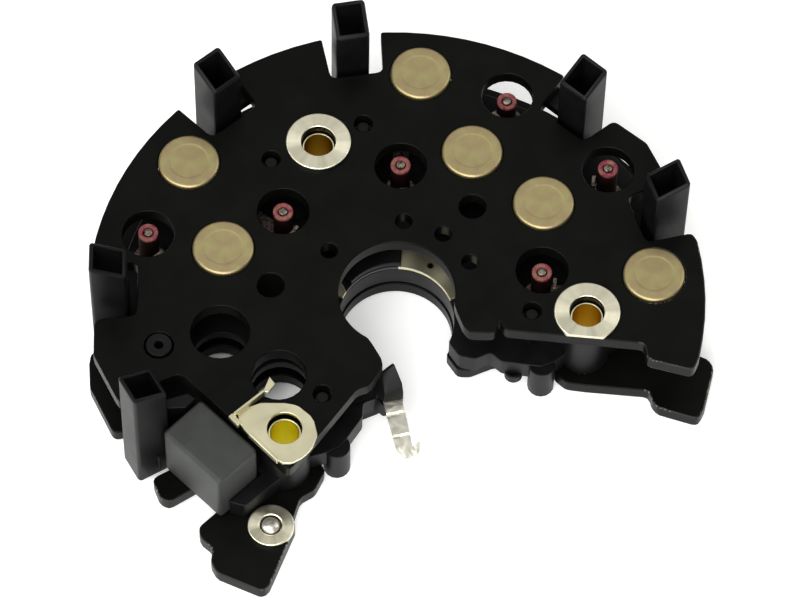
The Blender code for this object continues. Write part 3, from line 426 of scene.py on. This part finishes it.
def piece(name, work, material, slot, nodes, eased=(), smooth_below=35.0, other=None, other_faces=()):
    """Finishes a bmesh as a piece that rides on the part and stands for these solids.

    Some of its faces can have another material.
    """
    work.faces.index_update()
    rounds = {face.index for face in eased if face.is_valid}
    apart = {face.index for face in other_faces}
    mesh = bpy.data.meshes.new(name)
    work.to_mesh(mesh)
    work.free()
    mesh.materials.append(material)
    mesh.shade_smooth()
    if other:
        mesh.materials.append(other)
        for face in mesh.polygons:
            face.material_index = 1 if face.index in apart else 0
    even_shading(mesh, rounds, smooth_below)
    made = bpy.data.objects.new(name, mesh)
    bpy.context.scene.collection.objects.link(made)
    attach(made, "root")
    if nodes:
        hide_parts(*nodes)
    return made


def copy_of(solid):
    """The solid's surface with its loose triangles joined."""
    work = bmesh.new()
    work.from_mesh(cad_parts[solid].data)
    bmesh.ops.remove_doubles(work, verts=work.verts, dist=0.002 * MM)
    return work


def ease_edges(work, width, segments=2, from_angle=40.0):
    """Rounds the outer edges that are sharper than from_angle; returns the faces of the rounds."""
    sharp = [
        edge
        for edge in work.edges
        if edge.is_manifold and math.degrees(edge.calc_face_angle_signed(0)) > from_angle
    ]
    made = bmesh.ops.bevel(
        work,
        geom=sharp,
        offset=width,
        offset_type="OFFSET",
        segments=segments,
        profile=0.5,
        affect="EDGES",
        clamp_overlap=False,
        material=-1,
    )
    return made["faces"]


def turned(profile, centre, steps=64, upside_down=False):
    """A bmesh turned about a vertical axis; the profile is radius and height in millimetres."""
    work = bmesh.new()
    verts = [work.verts.new((radius * MM, 0, height * MM)) for radius, height in profile]
    edges = [work.edges.new(pair) for pair in zip(verts, verts[1:])]
    bmesh.ops.spin(
        work,
        geom=verts + edges,
        cent=(0, 0, 0),
        axis=(0, 0, 1),
        dvec=(0, 0, 0),
        angle=2 * math.pi,
        steps=steps,
        use_merge=True,
        use_duplicate=False,
    )
    bmesh.ops.remove_doubles(work, verts=work.verts, dist=0.001 * MM)
    bmesh.ops.recalc_face_normals(work, faces=work.faces)
    if upside_down:
        bmesh.ops.rotate(work, verts=work.verts, cent=(0, 0, 0), matrix=Matrix.Rotation(math.pi, 3, "X"))
    bmesh.ops.translate(work, verts=work.verts, vec=centre)
    return work


def quarter(radius, height, size, steps=4):
    """Points of a rounded upper outer corner about (radius, height)."""
    turns = [math.radians(90 - 90 * i / steps) for i in range(steps + 1)]
    return [(radius + size * math.cos(t), height + size * math.sin(t)) for t in turns]


def on_axis(solid, height):
    spot = middle(solid)
    return Vector((spot.x, spot.y, height))


def radius_of(solid):
    """Half of a round solid's width, in millimetres."""
    low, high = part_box(solid)
    return (high[0] - low[0]) / 2 / MM


def height_of(solid):
    """A solid's height in millimetres."""
    return (top_of(solid) - bottom_of(solid)) / MM


def plan(vertex):
    return round(vertex.co.x, 7), round(vertex.co.y, 7)


def miters(outline):
    """For each vertex of a closed outline, the way and length that sets both its edges in by one."""
    result = {}
    for vertex in outline:
        walls = [face.normal for face in vertex.link_faces if abs(face.normal.z) < 0.5]
        sides = []
        for wall in walls:
            if all(wall.angle(side) > math.radians(0.2) for side in sides):
                sides.append(wall.copy())
        together = sum(sides, Vector())
        share = together.length_squared / len(sides)
        result[vertex.index] = -together / share if share > 0.1 else Vector()
    return result


def stamped_plate(solid, radius, steps=3):
    """The plate with its stamped edges rounded: its outline, walls, rounded rims and flat faces.

    Returns the bmesh and the faces of the rounds.
    """
    work = copy_of(solid)
    work.verts.index_update()
    low, high = bottom_of(solid), top_of(solid)
    sharp = [e for e in work.edges if e.calc_face_angle(0) > math.radians(40)]
    level = [e for e in sharp if e.verts[0].co.z == e.verts[1].co.z]
    upper = [e for e in level if e.verts[0].co.z > (low + high) / 2]
    ways = miters({vertex for e in upper for vertex in e.verts})
    inward = {plan(v): ways[v.index] for e in upper for v in e.verts}
    plate = bmesh.new()
    verts = {spot: plate.verts.new((*spot, low + radius)) for spot in inward}
    outline = [plate.edges.new([verts[plan(v)] for v in e.verts]) for e in upper]
    # for each vertex made, the place on the outline that it was drawn from
    origin = {vert: spot for spot, vert in verts.items()}
    work.free()

    def follow(edges, sets_in, height):
        """Draws the edges on to a new height, set in by this much from the plate's edge."""
        made = bmesh.ops.extrude_edge_only(plate, edges=edges)["geom"]
        fresh = [item for item in made if isinstance(item, bmesh.types.BMVert)]
        spots = []
        for vert in fresh:
            beside = (edge.other_vert(vert) for edge in vert.link_edges)
            spots.append(next(origin[other] for other in beside if other in origin))
        for vert, spot in zip(fresh, spots):
            origin[vert] = spot
            vert.co = Vector((*spot, 0)) + inward[spot] * sets_in
            vert.co.z = height
        faces = [item for item in made if isinstance(item, bmesh.types.BMFace)]
        return [item for item in made if isinstance(item, bmesh.types.BMEdge)], faces

    def rim(edges, face, side):
        """Rounds the edges over to the flat face at this height and fills it; up is 1 and down is -1."""
        rounds = []
        for i in range(1, steps + 1):
            turn = math.pi / 2 * i / steps
            depth = radius * (1 - math.sin(turn))
            edges, faces = follow(edges, radius * (1 - math.cos(turn)), face - side * depth)
            rounds.extend(faces)
        bmesh.ops.triangle_fill(plate, edges=edges, use_beauty=True, normal=(0, 0, side))
        return rounds

    top, _ = follow(outline, 0.0, high - radius)
    rounds = rim(top, high, 1) + rim(outline, low, -1)
    bmesh.ops.recalc_face_normals(plate, faces=plate.faces)
    return plate, rounds


# ---------------------------------------------------------------- operators


class Maker:
    bl_options = {"REGISTER", "UNDO"}


class RECTIFIER_OT_heat_sinks(Maker, bpy.types.Operator):
    """Both heat sinks, with their stamped edges rounded"""

    bl_idname = "rectifier.heat_sinks"
    bl_label = "Heat sinks"

    def execute(self, context):
        coat, worn = black_coating(), worn_coating()
        for name in ("upper_heat_sink", "lower_heat_sink"):
            work, eased = stamped_plate(name, sizes().plate_edge)
            wear_and_painted_highlight = [face for face in eased if self.at_an_ear(face.calc_center_median() - SHAFT)]
            looks = {"other": worn, "other_faces": wear_and_painted_highlight}
            piece(f"{name}_plate", work, coat, "black_coated_aluminium", [name], eased, **looks)
        return {"FINISHED"}

    def at_an_ear(self, place):
        """The outer front edges knock against things and lose their coat first."""
        return place.y < -12 * MM and math.hypot(place.x, place.y) > 50 * MM


class RECTIFIER_OT_carrier(Maker, bpy.types.Operator):
    """The moulded terminal carrier with its wire towers"""

    bl_idname = "rectifier.carrier"
    bl_label = "Terminal carrier"

    def execute(self, context):
        work = copy_of("terminal_carrier")
        eased = ease_edges(work, sizes().moulding_edge)
        nylon = black_moulding()
        piece("carrier_moulding", work, nylon, "black_moulded_plastic", ["terminal_carrier"], eased)
        # the small open collar on the web's front edge, left of the right leg
        profile = [(0, -1.5), (1.2, -1.5), (1.2, -0.1), (1.3, 0), (1.7, 0), (1.9, -0.2)]
        profile += [(1.9, -2.0), (0, -2.0)]
        work = turned(profile, at(26.3, -135.9, top_of("lower_heat_sink") + 1.4 * MM), 32)
        piece("carrier_collar", work, nylon, "black_moulded_plastic", [])
        return {"FINISHED"}


class RECTIFIER_OT_diode_cups(Maker, bpy.types.Operator):
    """The pressed-in diode cups of both heat sinks"""

    bl_idname = "rectifier.diode_cups"
    bl_label = "Diode cups"

    def execute(self, context):
        for level in ("upper", "lower"):
            for number in range(1, 7):
                solid = f"{level}_diode_cup_{number}"
                radius, tall = radius_of(solid), height_of(solid)
                edge, dish = sizes().cup_edge / MM, sizes().dish_radius / MM
                profile = [(0, -0.1), (0.3, -0.07), (dish - 0.3, -0.07), (dish - 0.15, -0.06)]
                profile += [(dish, -0.035), (dish + 0.15, -0.01), (dish + 0.3, 0)]
                profile += quarter(radius - edge, -edge, edge)
                # the cup's open end, with the potting that has sunk in it
                profile += [(radius, -tall + 0.4), (radius - 0.4, -tall), (4.7, -tall)]
                profile += [(4.6, -tall + 0.5), (3.0, -tall + 0.75), (0, -tall + 0.8)]
                under = level == "lower"
                centre = on_axis(solid, bottom_of(solid) if under else top_of(solid))
                work = turned(profile, centre, 72, under)
                piece(f"{level}_cup_{number}", work, plated_cup(centre), "nickel_plated_copper", [solid])
        return {"FINISHED"}


# How much higher each lower lead ends than its solid, in millimetres, for the leads are cut by hand.
LOWER_LEAD_RISE = (0.3, 0.8, 1.0, -1.8, 1.0, -0.3)


class RECTIFIER_OT_leads(Maker, bpy.types.Operator):
    """The diode leads and the varnished sleeves over them"""

    bl_idname = "rectifier.leads"
    bl_label = "Leads and sleeves"

    def execute(self, context):
        copper = dull_tip()
        for level in ("upper", "lower"):
            under = level == "lower"
            for number in range(1, 7):
                extra = LOWER_LEAD_RISE[number - 1] if under else 0.0
                self.lead(f"{level}_lead_{number}", f"{level}_diode_lead_{number}", under, extra, copper)
                self.sleeve(f"{level}_sleeve_{number}", f"{level}_lead_sleeve_{number}", under, extra)
        return {"FINISHED"}

    def lead(self, name, solid, under, extra, metal):
        """A nail-headed lead with a blunt soldered tip, drawn from its head."""
        tall = height_of(solid) + extra
        profile = [(0, 0), (1.5, 0), (1.5, -0.5), (1.15, -0.75), (0.95, -1.1), (0.95, -tall + 0.4)]
        profile += [(0.85, -tall + 0.15), (0.55, -tall + 0.02), (0, -tall)]
        start = bottom_of(solid) if under else top_of(solid)
        work = turned(profile, on_axis(solid, start), 24, under)
        piece(name, work, metal, "tinned_steel", [solid])

    def sleeve(self, name, solid, under, extra):
        """A sleeve with a rounded open end, drawn from that end."""
        rise, lip = sizes().sleeve_rise / MM + extra, sizes().sleeve_lip / MM
        tall = height_of(solid) + rise
        radius, inner = radius_of(solid), 1.1
        profile = [(inner, -tall), (inner, -lip), (inner + 0.4 * lip, -0.3 * lip), (inner + lip, 0)]
        profile += quarter(radius - lip, -lip, lip) + [(radius, -tall), (inner, -tall)]
        way = 1 if under else -1
        end = (top_of(solid) if under else bottom_of(solid)) + way * rise * MM
        work = turned(profile, on_axis(solid, end), 32, not under)
        piece(name, work, varnished_sleeve(end, way), "pink_sleeving", [solid])


class RECTIFIER_OT_strips(Maker, bpy.types.Operator):
    """The phase strips and the ring strip"""

    bl_idname = "rectifier.strips"
    bl_label = "Conductor strips"

    def execute(self, context):
        dull, ring = dull_tip(), half_black_ring()
        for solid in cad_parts:
            if solid.startswith("phase_strip") or solid == "ring_strip":
                work = copy_of(solid)
                eased = ease_edges(work, sizes().sheet_edge, 1)
                metal = ring if solid == "ring_strip" else dull
                piece(f"{solid}_metal", work, metal, "tinned_steel", [solid], eased)
        return {"FINISHED"}


WASHER_BORE = 3.6  # radius in millimetres


class RECTIFIER_OT_washers(Maker, bpy.types.Operator):
    """The flanged washers, the washer on the ear and its rivet"""

    bl_idname = "rectifier.washers"
    bl_label = "Washers and rivet"

    def execute(self, context):
        bore = shaded_bore()
        flange = radius_of("flanged_washer_back")  # the right one's box is narrower, for it is trimmed
        for name in ("back", "right"):
            solid, tube = f"flanged_washer_{name}", f"fixing_tube_{name}"
            centre = on_axis(tube, top_of(solid))
            profile = [(WASHER_BORE, -3.4), (WASHER_BORE, -0.12), (WASHER_BORE + 0.12, 0)]
            profile += quarter(flange - 0.35, -0.35, 0.35) + [(flange, -0.9)]
            # the spigot that sits in the plate
            profile += [(4.5, -0.9), (4.5, -3.6), (3.8, -3.6), (WASHER_BORE, -3.4)]
            work = turned(profile, centre, 96)
            if name == "right":
                self.trim(work, centre)
            # the bore's faces take the painted shade
            inner = [face for face in work.faces if self.in_bore(face.calc_center_median() - centre)]
            looks = {"other": bore, "other_faces": inner}
            piece(f"washer_{name}", work, turned_aluminium(centre), "bare_aluminium", [solid], **looks)
        self.ear_washer()
        self.ear_rivet()
        return {"FINISHED"}

    def ear_washer(self):
        centre = on_axis("ear_washer", top_of("ear_washer"))
        radius, bore, foot = 4.8, 2.3, -1.0
        profile = [(bore, foot), (bore, -0.15), (bore + 0.2, 0)]
        profile += quarter(radius - 0.3, -0.3, 0.3) + [(radius, foot), (bore, foot)]
        work = turned(profile, centre, 72)
        piece("ear_washer_turned", work, turned_aluminium(centre), "bare_aluminium", ["ear_washer"])

    def ear_rivet(self):
        centre = on_axis("ear_rivet", top_of("ear_rivet"))
        radius, foot = 1.9, -height_of("ear_rivet")
        profile = [(0, 0), (0.6, -0.04), (1.15, -0.17), (1.6, -0.42), (1.85, -0.75)]
        profile += [(radius, -1.0), (radius, foot), (0, foot)]
        work = turned(profile, centre, 48)
        piece("ear_rivet_head", work, spring_metal(), "bare_aluminium", ["ear_rivet"])

    def in_bore(self, place):
        return math.hypot(place.x, place.y) < (WASHER_BORE + 0.05) * MM

    def trim(self, work, centre):
        """Cuts the flange flush with the heat sink's front edge, 5.8 mm from the fixing's axis."""
        turn = math.radians(-120)
        out = Vector((math.cos(turn), math.sin(turn), 0))
        edge = centre + out * 5.8 * MM
        geometry = [*work.verts, *work.edges, *work.faces]
        cut = bmesh.ops.bisect_plane(
            work, geom=geometry, dist=0.0001 * MM, plane_co=edge, plane_no=out, clear_outer=True
        )
        rim = [item for item in cut["geom_cut"] if isinstance(item, bmesh.types.BMEdge)]
        bmesh.ops.holes_fill(work, edges=rim, sides=0)


class RECTIFIER_OT_fixing_tubes(Maker, bpy.types.Operator):
    """The yellow tubes that line the fixings"""

    bl_idname = "rectifier.fixing_tubes"
    bl_label = "Fixing tubes"

    def execute(self, context):
        bore = 2.95
        # painted shade in the back tube's tint, and painted light in the left tube's
        tints = {"back": colours().shaded_yellow, "right": colours().amber, "left": colours().lit_yellow}
        for name, tint in tints.items():
            solid = f"fixing_tube_{name}"
            radius, foot, rim = radius_of(solid), -height_of(solid), top_of(solid)
            profile = [(bore, foot), (bore, -0.2), (3.05, -0.04), (3.15, 0), (3.28, 0), (radius, -0.12)]
            profile += [(radius, foot), (bore, foot)]
            work = turned(profile, on_axis(solid, rim))
            film_and_shade = yellow_passivated(tint, rim)
            piece(f"tube_{name}", work, film_and_shade, "yellow_passivated_steel", [solid])
        return {"FINISHED"}


class RECTIFIER_OT_capacitor(Maker, bpy.types.Operator):
    """The suppression capacitor and its ring terminal"""

    bl_idname = "rectifier.capacitor"
    bl_label = "Capacitor"

    def execute(self, context):
        work = copy_of("capacitor_block")
        case = cast_block()
        piece("capacitor_case", work, case, "dark_grey_epoxy", ["capacitor_block"], smooth_below=50.0)
        work = copy_of("capacitor_terminal")
        eased = ease_edges(work, sizes().terminal_edge, 3)
        piece("ring_terminal", work, tinned(), "tinned_steel", ["capacitor_terminal"], eased)
        return {"FINISHED"}


class RECTIFIER_OT_contact_spring(Maker, bpy.types.Operator):
    """The flat contact spring under the horn"""

    bl_idname = "rectifier.contact_spring"
    bl_label = "Contact spring"

    def execute(self, context):
        work = copy_of("contact_spring")
        piece("spring_leaf", work, spring_metal(), "tinned_steel", ["contact_spring"])
        return {"FINISHED"}


def lamp(name, size, power, spot, target):
    """A square soft lamp that looks from spot to target; metres and watts."""
    data = bpy.data.lights.new(name, "AREA")
    data.size = size
    data.energy = power
    made = bpy.data.objects.new(name, data)
    made.location = spot
    made.rotation_euler = (Vector(target) - Vector(spot)).to_track_quat("-Z", "Y").to_euler()
    bpy.context.scene.collection.objects.link(made)


class RECTIFIER_OT_studio(Maker, bpy.types.Operator):
    """The pale floor, the soft lamps and the camera"""

    bl_idname = "rectifier.studio"
    bl_label = "Studio"

    def execute(self, context):
        scene = context.scene
        scene.view_settings.view_transform = "Standard"
        self.floor()
        self.world(scene)
        lamp("lamp_key", 1.1, 13.0, (-0.6, -0.35, 1.0), (0, 0, 0))
        lamp("lamp_front", 0.6, 6.0, (-0.35, -0.85, 0.5), (0, 0, 0.01))
        lamp("lamp_left", 0.5, 2.0, (-0.95, 0.15, 0.5), (0, 0, 0.01))
        lamp("lamp_right", 0.6, 2.5, (0.95, -0.1, 0.6), (0, 0, 0.01))
        lamp("lamp_over", 1.6, 4.5, (0.3, 0.55, 1.2), (0, 0, 0))
        self.camera(scene)
        return {"FINISHED"}

    def floor(self):
        work = bmesh.new()
        bmesh.ops.create_grid(work, x_segments=1, y_segments=1, size=4.0)
        mesh = bpy.data.meshes.new("floor")
        work.to_mesh(mesh)
        work.free()
        made = bpy.data.objects.new("floor", mesh)
        bpy.context.scene.collection.objects.link(made)
        material, tree, place = blank("white_card")
        card = node(tree, "ShaderNodeBsdfDiffuse", {"Color": colours().floor})
        # the card glows where it lies open; round a point below the left wing its glow falls almost to
        # nothing, a painted shade
        shade = Vector((SHAFT.x - 28 * MM, SHAFT.y + 12 * MM, 0))
        off = node(tree, "ShaderNodeVectorMath", {0: place, 1: shade}, operation="DISTANCE")
        reach = {"Value": off.outputs["Value"], "From Min": 11 * MM, "From Max": 16 * MM}
        lift = node(tree, "ShaderNodeMapRange", {**reach, "To Min": 0.02, "To Max": 0.37})
        glow = node(tree, "ShaderNodeEmission", {"Color": (1, 1, 1, 1), "Strength": lift})
        nothing = node(tree, "ShaderNodeEmission", {"Color": (0, 0, 0, 1), "Strength": 0.0})
        shown = node(tree, "ShaderNodeMixShader", {"Fac": self.seen(tree), 1: nothing, 2: glow})
        both = node(tree, "ShaderNodeAddShader", {0: card, 1: shown})
        node(tree, "ShaderNodeOutputMaterial", {"Surface": both})
        mesh.materials.append(material)

    def seen(self, tree):
        """1 for rays from the camera, from glossy surfaces and through clear ones, and 0 for others."""
        path = node(tree, "ShaderNodeLightPath").outputs
        straight = {0: path["Is Camera Ray"], 1: path["Is Glossy Ray"]}
        pair = node(tree, "ShaderNodeMath", straight, operation="MAXIMUM")
        through = {0: pair, 1: path["Is Transmission Ray"]}
        return node(tree, "ShaderNodeMath", through, operation="MAXIMUM")

    def world(self, scene):
        scene.world = bpy.data.worlds.new("studio_air")
        scene.world.use_nodes = True
        back = scene.world.node_tree.nodes["Background"]
        back.inputs["Color"].default_value = (1.0, 0.99, 0.95, 1.0)
        back.inputs["Strength"].default_value = 0.22

    def camera(self, scene):
        """A long lens from the mouth's left, looking down, with the slight turn of the hand."""
        away, down, turn = 1.031, math.radians(60.51), math.radians(1.33)
        target = Vector((SHAFT.x - 0.11 * MM, SHAFT.y - 1.88 * MM, top_of("upper_heat_sink")))
        along = Vector((0.4344, 0.9007, 0)).normalized()
        data = bpy.data.cameras.new("camera")
        data.lens = 225.0
        data.sensor_width = 36.0
        data.clip_start = 0.01
        made = bpy.data.objects.new("camera", data)
        look = along * math.cos(down) - Vector((0, 0, math.sin(down)))
        made.matrix_world = (
            Matrix.Translation(target - look * away)
            @ look.to_track_quat("-Z", "Y").to_matrix().to_4x4()
            @ Matrix.Rotation(turn, 4, "Z")
        )
        scene.collection.objects.link(made)
        scene.camera = made


class RECTIFIER_PT_panel(bpy.types.Panel):
    bl_idname = "RECTIFIER_PT_panel"
    bl_label = "Rectifier"
    bl_space_type = "VIEW_3D"
    bl_region_type = "UI"
    bl_category = "Rectifier"

    def draw(self, context):
        for group in (context.scene.rectifier_sizes, context.scene.rectifier_colours):
            for name in group.bl_rna.properties.keys():
                if name not in ("rna_type", "name"):
                    self.layout.prop(group, name)
        for maker in MAKERS:
            self.layout.operator(maker.bl_idname)


MAKERS = (
    RECTIFIER_OT_heat_sinks,
    RECTIFIER_OT_carrier,
    RECTIFIER_OT_diode_cups,
    RECTIFIER_OT_leads,
    RECTIFIER_OT_strips,
    RECTIFIER_OT_washers,
    RECTIFIER_OT_fixing_tubes,
    RECTIFIER_OT_capacitor,
    RECTIFIER_OT_contact_spring,
    RECTIFIER_OT_studio,
)
CLASSES = (RectifierSizes, RectifierColours, *MAKERS, RECTIFIER_PT_panel)


def register():
    for item in CLASSES:
        bpy.utils.register_class(item)
    bpy.types.Scene.rectifier_sizes = bpy.props.PointerProperty(type=RectifierSizes)
    bpy.types.Scene.rectifier_colours = bpy.props.PointerProperty(type=RectifierColours)


def unregister():
    del bpy.types.Scene.rectifier_colours
    del bpy.types.Scene.rectifier_sizes
    for item in reversed(CLASSES):
        bpy.utils.unregister_class(item)


def main():
    register()
    for maker in MAKERS:
        group, name = maker.bl_idname.split(".")
        getattr(getattr(bpy.ops, group), name)()


if __name__ == "__main__":
    main()
